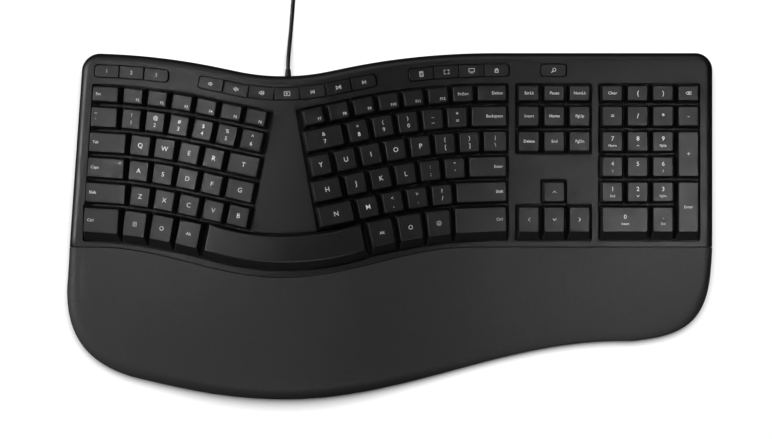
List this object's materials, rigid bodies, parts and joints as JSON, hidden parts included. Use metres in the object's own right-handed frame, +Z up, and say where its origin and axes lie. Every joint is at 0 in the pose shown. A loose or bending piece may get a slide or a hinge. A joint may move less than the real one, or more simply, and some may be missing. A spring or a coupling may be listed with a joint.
{
  "type": "ergonomic split-layout keyboard",
  "caption": "Wired ergonomic keyboard: split key layout on a gull-winged body, padded palm rest, number pad, hot keys, tilt feet.",
  "frame": {"origin": "on the desk under the middle of the body's outline", "axes": "+X to the typist's right, +Y away from the typist, +Z up"},
  "size_m": [0.491, 0.3682, 0.042],
  "materials": {
    "case_plastic": "fine matte grain",
    "palm_cover": "soft grained leatherette",
    "inner_plastic": "plain moulded",
    "key_plastic": "satin with a fine grain",
    "hot_key_plastic": "satin",
    "dome_rubber": "translucent matte",
    "circuit_film": "smooth film",
    "back_steel": "rolled",
    "board": "lacquered board",
    "screw_steel": "plated",
    "foot_rubber": "matte",
    "cord_rubber": "satin",
    "plug_steel": "plated",
    "light_guide": "clear"
  },
  "bodies": {
    "case": {"bottom_case": "case_plastic", "top_case": "case_plastic", "palm_rest_base": "inner_plastic", "palm_rest_cushion": "palm_cover", "key_plate": "inner_plastic", "dome_sheet": "dome_rubber", "membrane": "circuit_film", "back_plate": "back_steel", "controller_board": "board", "case_screws": "screw_steel", "rubber_feet": "foot_rubber", "strain_relief": "cord_rubber", "cord_lead": "cord_rubber", "cord_coil": "cord_rubber", "cord_tie": "cord_rubber", "plug_body": "cord_rubber", "plug_shell": "plug_steel"},
    "escape_key_body": {"escape_key": "key_plastic"},
    "function_keys_left_body": {"function_keys_left": "key_plastic"},
    "number_keys_left_body": {"number_keys_left": "key_plastic"},
    "tab_key_body": {"tab_key": "key_plastic"},
    "upper_letter_keys_left_body": {"upper_letter_keys_left": "key_plastic"},
    "caps_lock_key_body": {"caps_lock_key": "key_plastic", "caps_light": "light_guide"},
    "home_letter_keys_left_body": {"home_letter_keys_left": "key_plastic"},
    "left_shift_key_body": {"left_shift_key": "key_plastic"},
    "lower_letter_keys_left_body": {"lower_letter_keys_left": "key_plastic"},
    "left_control_key_body": {"left_control_key": "key_plastic"},
    "left_system_keys_body": {"left_system_keys": "key_plastic"},
    "left_alt_key_body": {"left_alt_key": "key_plastic"},
    "delete_key_body": {"delete_key": "key_plastic"},
    "function_keys_right_body": {"function_keys_right": "key_plastic"},
    "backspace_key_body": {"backspace_key": "key_plastic"},
    "number_keys_right_body": {"number_keys_right": "key_plastic"},
    "upper_letter_keys_right_body": {"upper_letter_keys_right": "key_plastic"},
    "enter_key_body": {"enter_key": "key_plastic"},
    "home_letter_keys_right_body": {"home_letter_keys_right": "key_plastic"},
    "right_shift_key_body": {"right_shift_key": "key_plastic"},
    "lower_letter_keys_right_body": {"lower_letter_keys_right": "key_plastic"},
    "right_control_key_body": {"right_control_key": "key_plastic"},
    "right_system_keys_body": {"right_system_keys": "key_plastic"},
    "right_alt_key_body": {"right_alt_key": "key_plastic"},
    "lock_keys_body": {"lock_keys": "key_plastic"},
    "navigation_keys_body": {"navigation_keys": "key_plastic"},
    "arrow_up_key_body": {"arrow_up_key": "key_plastic"},
    "arrow_left_key_body": {"arrow_left_key": "key_plastic"},
    "arrow_down_key_body": {"arrow_down_key": "key_plastic"},
    "arrow_right_key_body": {"arrow_right_key": "key_plastic"},
    "number_pad_operator_keys_body": {"number_pad_operator_keys": "key_plastic"},
    "number_pad_digit_keys_body": {"number_pad_digit_keys": "key_plastic"},
    "number_pad_plus_key_body": {"number_pad_plus_key": "key_plastic"},
    "number_pad_enter_key_body": {"number_pad_enter_key": "key_plastic"},
    "number_pad_zero_key_body": {"number_pad_zero_key": "key_plastic"},
    "number_pad_point_key_body": {"number_pad_point_key": "key_plastic"},
    "space_bar_body": {"space_bar": "key_plastic"},
    "hot_keys_left_body": {"hot_keys_left": "hot_key_plastic"},
    "hot_keys_middle_body": {"hot_keys_middle": "hot_key_plastic"},
    "hot_keys_right_body": {"hot_keys_right": "hot_key_plastic"},
    "tilt_foot_left_body": {"tilt_foot_left": "case_plastic"},
    "tilt_foot_right_body": {"tilt_foot_right": "case_plastic"}
  },
  "joints": [
    {"name": "escape_key_press", "type": "slide", "parent": "case", "child": "escape_key_body", "axis": [0.1501, 0, -0.9887], "range_m": [0, 0.0025], "stiffness_N_per_m": 200, "springref_m": -0.001, "deforming": ["dome_sheet"]},
    {"name": "function_keys_left_press", "type": "slide", "parent": "case", "child": "function_keys_left_body", "axis": [0.1304, 0, -0.9915], "range_m": [0, 0.0025], "stiffness_N_per_m": 1200, "springref_m": -0.001, "deforming": ["dome_sheet"]},
    {"name": "number_keys_left_press", "type": "slide", "parent": "case", "child": "number_keys_left_body", "axis": [0.1443, 0, -0.9895], "range_m": [0, 0.0025], "stiffness_N_per_m": 1400, "springref_m": -0.001, "deforming": ["dome_sheet"]},
    {"name": "tab_key_press", "type": "slide", "parent": "case", "child": "tab_key_body", "axis": [0.1512, 0, -0.9885], "range_m": [0, 0.0025], "stiffness_N_per_m": 200, "springref_m": -0.001, "deforming": ["dome_sheet"]},
    {"name": "upper_letter_keys_left_press", "type": "slide", "parent": "case", "child": "upper_letter_keys_left_body", "axis": [0.1326, 0, -0.9912], "range_m": [0, 0.0025], "stiffness_N_per_m": 1000, "springref_m": -0.001, "deforming": ["dome_sheet"]},
    {"name": "caps_lock_key_press", "type": "slide", "parent": "case", "child": "caps_lock_key_body", "axis": [0.1502, 0, -0.9886], "range_m": [0, 0.0025], "stiffness_N_per_m": 200, "springref_m": -0.001, "deforming": ["dome_sheet"]},
    {"name": "home_letter_keys_left_press", "type": "slide", "parent": "case", "child": "home_letter_keys_left_body", "axis": [0.135, 0, -0.9908], "range_m": [0, 0.0025], "stiffness_N_per_m": 1000, "springref_m": -0.001, "deforming": ["dome_sheet"]},
    {"name": "left_shift_key_press", "type": "slide", "parent": "case", "child": "left_shift_key_body", "axis": [0.1502, 0, -0.9887], "range_m": [0, 0.0025], "stiffness_N_per_m": 200, "springref_m": -0.001, "deforming": ["dome_sheet"]},
    {"name": "lower_letter_keys_left_press", "type": "slide", "parent": "case", "child": "lower_letter_keys_left_body", "axis": [0.135, 0, -0.9908], "range_m": [0, 0.0025], "stiffness_N_per_m": 1000, "springref_m": -0.001, "deforming": ["dome_sheet"]},
    {"name": "left_control_key_press", "type": "slide", "parent": "case", "child": "left_control_key_body", "axis": [0.1475, 0, -0.9891], "range_m": [0, 0.0025], "stiffness_N_per_m": 200, "springref_m": -0.001, "deforming": ["dome_sheet"]},
    {"name": "left_system_keys_press", "type": "slide", "parent": "case", "child": "left_system_keys_body", "axis": [0.1574, 0, -0.9875], "range_m": [0, 0.0025], "stiffness_N_per_m": 400, "springref_m": -0.001, "deforming": ["dome_sheet"]},
    {"name": "left_alt_key_press", "type": "slide", "parent": "case", "child": "left_alt_key_body", "axis": [0.1357, 0, -0.9907], "range_m": [0, 0.0025], "stiffness_N_per_m": 200, "springref_m": -0.001, "deforming": ["dome_sheet"]},
    {"name": "delete_key_press", "type": "slide", "parent": "case", "child": "delete_key_body", "axis": [-0.054, 0, -0.9985], "range_m": [0, 0.0025], "stiffness_N_per_m": 200, "springref_m": -0.001, "deforming": ["dome_sheet"]},
    {"name": "function_keys_right_press", "type": "slide", "parent": "case", "child": "function_keys_right_body", "axis": [-0.1548, 0, -0.9879], "range_m": [0, 0.0025], "stiffness_N_per_m": 1400, "springref_m": -0.001, "deforming": ["dome_sheet"]},
    {"name": "backspace_key_press", "type": "slide", "parent": "case", "child": "backspace_key_body", "axis": [-0.0602, 0, -0.9982], "range_m": [0, 0.0025], "stiffness_N_per_m": 200, "springref_m": -0.001, "deforming": ["dome_sheet"]},
    {"name": "number_keys_right_press", "type": "slide", "parent": "case", "child": "number_keys_right_body", "axis": [-0.1557, 0, -0.9878], "range_m": [0, 0.0025], "stiffness_N_per_m": 1200, "springref_m": -0.001, "deforming": ["dome_sheet"]},
    {"name": "upper_letter_keys_right_press", "type": "slide", "parent": "case", "child": "upper_letter_keys_right_body", "axis": [-0.1574, 0, -0.9875], "range_m": [0, 0.0025], "stiffness_N_per_m": 1600, "springref_m": -0.001, "deforming": ["dome_sheet"]},
    {"name": "enter_key_press", "type": "slide", "parent": "case", "child": "enter_key_body", "axis": [-0.0626, 0, -0.998], "range_m": [0, 0.0025], "stiffness_N_per_m": 200, "springref_m": -0.001, "deforming": ["dome_sheet"]},
    {"name": "home_letter_keys_right_press", "type": "slide", "parent": "case", "child": "home_letter_keys_right_body", "axis": [-0.1558, 0, -0.9878], "range_m": [0, 0.0025], "stiffness_N_per_m": 1200, "springref_m": -0.001, "deforming": ["dome_sheet"]},
    {"name": "right_shift_key_press", "type": "slide", "parent": "case", "child": "right_shift_key_body", "axis": [-0.0754, 0, -0.9972], "range_m": [0, 0.0025], "stiffness_N_per_m": 200, "springref_m": -0.001, "deforming": ["dome_sheet"]},
    {"name": "lower_letter_keys_right_press", "type": "slide", "parent": "case", "child": "lower_letter_keys_right_body", "axis": [-0.1549, 0, -0.9879], "range_m": [0, 0.0025], "stiffness_N_per_m": 1000, "springref_m": -0.001, "deforming": ["dome_sheet"]},
    {"name": "right_control_key_press", "type": "slide", "parent": "case", "child": "right_control_key_body", "axis": [-0.0765, 0, -0.9971], "range_m": [0, 0.0025], "stiffness_N_per_m": 200, "springref_m": -0.001, "deforming": ["dome_sheet"]},
    {"name": "right_system_keys_press", "type": "slide", "parent": "case", "child": "right_system_keys_body", "axis": [-0.1513, 0, -0.9885], "range_m": [0, 0.0025], "stiffness_N_per_m": 400, "springref_m": -0.001, "deforming": ["dome_sheet"]},
    {"name": "right_alt_key_press", "type": "slide", "parent": "case", "child": "right_alt_key_body", "axis": [-0.1513, 0, -0.9885], "range_m": [0, 0.0025], "stiffness_N_per_m": 200, "springref_m": -0.001, "deforming": ["dome_sheet"]},
    {"name": "lock_keys_press", "type": "slide", "parent": "case", "child": "lock_keys_body", "axis": [0, 0, -1], "range_m": [0, 0.0025], "stiffness_N_per_m": 600, "springref_m": -0.001, "deforming": ["dome_sheet"]},
    {"name": "navigation_keys_press", "type": "slide", "parent": "case", "child": "navigation_keys_body", "axis": [0, 0, -1], "range_m": [0, 0.0025], "stiffness_N_per_m": 1200, "springref_m": -0.001, "deforming": ["dome_sheet"]},
    {"name": "arrow_up_key_press", "type": "slide", "parent": "case", "child": "arrow_up_key_body", "axis": [0, 0, -1], "range_m": [0, 0.0025], "stiffness_N_per_m": 200, "springref_m": -0.001, "deforming": ["dome_sheet"]},
    {"name": "arrow_left_key_press", "type": "slide", "parent": "case", "child": "arrow_left_key_body", "axis": [0, 0, -1], "range_m": [0, 0.0025], "stiffness_N_per_m": 200, "springref_m": -0.001, "deforming": ["dome_sheet"]},
    {"name": "arrow_down_key_press", "type": "slide", "parent": "case", "child": "arrow_down_key_body", "axis": [0, 0, -1], "range_m": [0, 0.0025], "stiffness_N_per_m": 200, "springref_m": -0.001, "deforming": ["dome_sheet"]},
    {"name": "arrow_right_key_press", "type": "slide", "parent": "case", "child": "arrow_right_key_body", "axis": [0, 0, -1], "range_m": [0, 0.0025], "stiffness_N_per_m": 200, "springref_m": -0.001, "deforming": ["dome_sheet"]},
    {"name": "number_pad_operator_keys_press", "type": "slide", "parent": "case", "child": "number_pad_operator_keys_body", "axis": [0, 0, -1], "range_m": [0, 0.0025], "stiffness_N_per_m": 1600, "springref_m": -0.001, "deforming": ["dome_sheet"]},
    {"name": "number_pad_digit_keys_press", "type": "slide", "parent": "case", "child": "number_pad_digit_keys_body", "axis": [0, 0, -1], "range_m": [0, 0.0025], "stiffness_N_per_m": 1800, "springref_m": -0.001, "deforming": ["dome_sheet"]},
    {"name": "number_pad_plus_key_press", "type": "slide", "parent": "case", "child": "number_pad_plus_key_body", "axis": [0, 0, -1], "range_m": [0, 0.0025], "stiffness_N_per_m": 200, "springref_m": -0.001, "deforming": ["dome_sheet"]},
    {"name": "number_pad_enter_key_press", "type": "slide", "parent": "case", "child": "number_pad_enter_key_body", "axis": [0, 0, -1], "range_m": [0, 0.0025], "stiffness_N_per_m": 200, "springref_m": -0.001, "deforming": ["dome_sheet"]},
    {"name": "number_pad_zero_key_press", "type": "slide", "parent": "case", "child": "number_pad_zero_key_body", "axis": [0, 0, -1], "range_m": [0, 0.0025], "stiffness_N_per_m": 200, "springref_m": -0.001, "deforming": ["dome_sheet"]},
    {"name": "number_pad_point_key_press", "type": "slide", "parent": "case", "child": "number_pad_point_key_body", "axis": [0, 0, -1], "range_m": [0, 0.0025], "stiffness_N_per_m": 200, "springref_m": -0.001, "deforming": ["dome_sheet"]},
    {"name": "space_bar_press", "type": "slide", "parent": "case", "child": "space_bar_body", "axis": [0, 0, -1], "range_m": [0, 0.0025], "stiffness_N_per_m": 400, "springref_m": -0.001, "deforming": ["dome_sheet"]},
    {"name": "hot_keys_left_press", "type": "slide", "parent": "case", "child": "hot_keys_left_body", "axis": [0.1581, 0, -0.9874], "range_m": [0, 0.001], "stiffness_N_per_m": 600, "springref_m": -0.001, "deforming": ["dome_sheet"]},
    {"name": "hot_keys_middle_press", "type": "slide", "parent": "case", "child": "hot_keys_middle_body", "axis": [0.0004, 0, -1], "range_m": [0, 0.001], "stiffness_N_per_m": 1400, "springref_m": -0.001, "deforming": ["dome_sheet"]},
    {"name": "hot_keys_right_press", "type": "slide", "parent": "case", "child": "hot_keys_right_body", "axis": [-0.0618, 0, -0.9981], "range_m": [0, 0.001], "stiffness_N_per_m": 1000, "springref_m": -0.001, "deforming": ["dome_sheet"]},
    {"name": "tilt_foot_left_hinge", "type": "hinge", "parent": "case", "child": "tilt_foot_left_body", "pos_m": [-0.165, -0.092, 0.0051], "axis": [-1, 0, 0], "range_deg": [0, 85]},
    {"name": "tilt_foot_right_hinge", "type": "hinge", "parent": "case", "child": "tilt_foot_right_body", "pos_m": [0.005, -0.092, 0.0051], "axis": [-1, 0, 0], "range_deg": [0, 85]}
  ]
}
